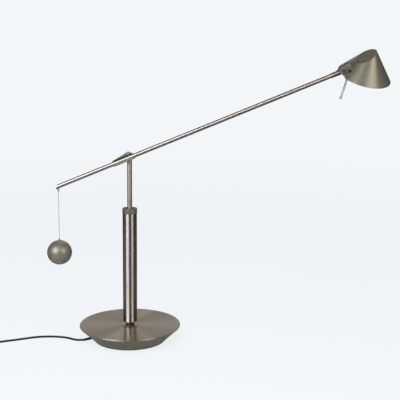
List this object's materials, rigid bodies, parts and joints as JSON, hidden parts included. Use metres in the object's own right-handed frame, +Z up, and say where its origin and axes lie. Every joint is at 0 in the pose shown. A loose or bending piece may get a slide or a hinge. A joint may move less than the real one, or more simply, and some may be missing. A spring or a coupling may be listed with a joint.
{
  "type": "balance desk lamp",
  "caption": "Desk lamp with a long arm balanced by a ball on a wire, sliding and turning stem in a column, cone shade on a tilting neck and a round weighted base.",
  "frame": {"origin": "centre of the round base on the surface it rests on", "axes": "+Z up along the column, +X under the arm towards the shade, -Y towards the side the arm is mounted on"},
  "size_m": [1.0247, 0.25, 0.7202],
  "materials": {
    "brushed_nickel": "brushed and clear lacquered",
    "polished_nickel": "polished",
    "olive_paint": "semi-gloss metallic paint",
    "dark_steel": "blackened",
    "zinc_steel": "zinc plated",
    "black_iron": "as cast, painted black",
    "brass": "plain",
    "foot_rubber": "matt",
    "winding_tape": "iron core and copper winding wrapped in polyester tape",
    "pad_rubber": "matt",
    "white_nylon": "plain",
    "lead_insulation": "plain",
    "ceramic": "unglazed ceramic",
    "capsule_glass": "clear",
    "light_metal": "satin",
    "grey_rubber": "soft",
    "cord_black": "satin flexible plastic"
  },
  "bodies": {
    "base": {"top_disc": "brushed_nickel", "cone_shell": "olive_paint", "foot_ring": "foot_rubber", "base_plate": "zinc_steel", "plate_screws": "zinc_steel", "ballast_ring": "black_iron", "transformer": "winding_tape", "transformer_pad": "pad_rubber", "clamp_washer": "zinc_steel", "clamp_nut": "brass", "terminal_block": "white_nylon", "tie_tube": "brass", "neck_spacer": "dark_steel", "column_tube": "polished_nickel", "column_plug": "zinc_steel", "collar": "olive_paint", "cord_gland": "cord_black", "mains_cord": "cord_black", "cord_coil": "cord_black", "plug_cord": "cord_black", "plug_body": "cord_black", "plug_pins": "brass"},
    "swivel": {"guide_bush": "brass", "bush_nut": "brass", "friction_sleeve": "white_nylon"},
    "stem": {"stem_tube": "polished_nickel", "stem_guide": "white_nylon", "stem_head": "zinc_steel", "stem_lead": "lead_insulation", "pivot_bolt": "zinc_steel", "pivot_cap": "light_metal", "pivot_washer": "white_nylon", "spring_washer": "zinc_steel", "pivot_nut": "zinc_steel"},
    "arm": {"rocker_cradle": "olive_paint", "arm_tube": "polished_nickel", "arm_plug": "zinc_steel", "arm_spigot": "zinc_steel", "neck_collar": "polished_nickel", "arm_lead": "lead_insulation"},
    "hanger": {"wire_link": "zinc_steel"},
    "ball": {"suspension_wire": "zinc_steel", "counterweight_ball": "olive_paint", "ball_ferrule": "zinc_steel"},
    "neck": {"hinge_tongue": "light_metal", "grub_screw": "dark_steel"},
    "head": {"shade_shell": "olive_paint", "shade_cover": "dark_steel", "reflector": "light_metal", "holder_bracket": "light_metal", "shade_screw": "dark_steel", "lamp_holder": "ceramic", "halogen_capsule": "capsule_glass", "capsule_pins": "zinc_steel", "handle_rod": "light_metal", "handle_tip": "grey_rubber", "hinge_screw": "dark_steel", "hinge_nut": "zinc_steel"}
  },
  "joints": [
    {"name": "stem_turn", "type": "hinge", "parent": "base", "child": "swivel", "pos_m": [0, 0, 0.325], "axis": [0, 0, 1], "range_deg": [-170, 170]},
    {"name": "stem_slide", "type": "slide", "parent": "swivel", "child": "stem", "axis": [0, 0, 1], "range_m": [-0.08, 0.08]},
    {"name": "arm_tilt", "type": "hinge", "parent": "stem", "child": "arm", "pos_m": [-0.0029, 0, 0.4665], "axis": [0, -1, 0], "range_deg": [-38, 30]},
    {"name": "wire_hang", "type": "hinge", "parent": "arm", "child": "hanger", "pos_m": [-0.17093, -0.014, 0.37816], "axis": [0, -1, 0], "range_deg": [-31, 39]},
    {"name": "ball_sway", "type": "hinge", "parent": "hanger", "child": "ball", "pos_m": [-0.17093, -0.014, 0.37556], "axis": [1, 0, 0], "range_deg": [-25, 25]},
    {"name": "head_roll", "type": "hinge", "parent": "arm", "child": "neck", "pos_m": [0.50565, -0.014, 0.66899], "axis": [0.9225, 0, 0.3859], "range_deg": [-119, 60]},
    {"name": "head_tilt", "type": "hinge", "parent": "neck", "child": "head", "pos_m": [0.50447, -0.01571, 0.67181], "axis": [0.1883, -0.8729, -0.4501], "range_deg": [-40, 75]}
  ],
  "couplings": [
    {"joint": "wire_hang", "follows": "arm_tilt", "ratio": -1}
  ]
}
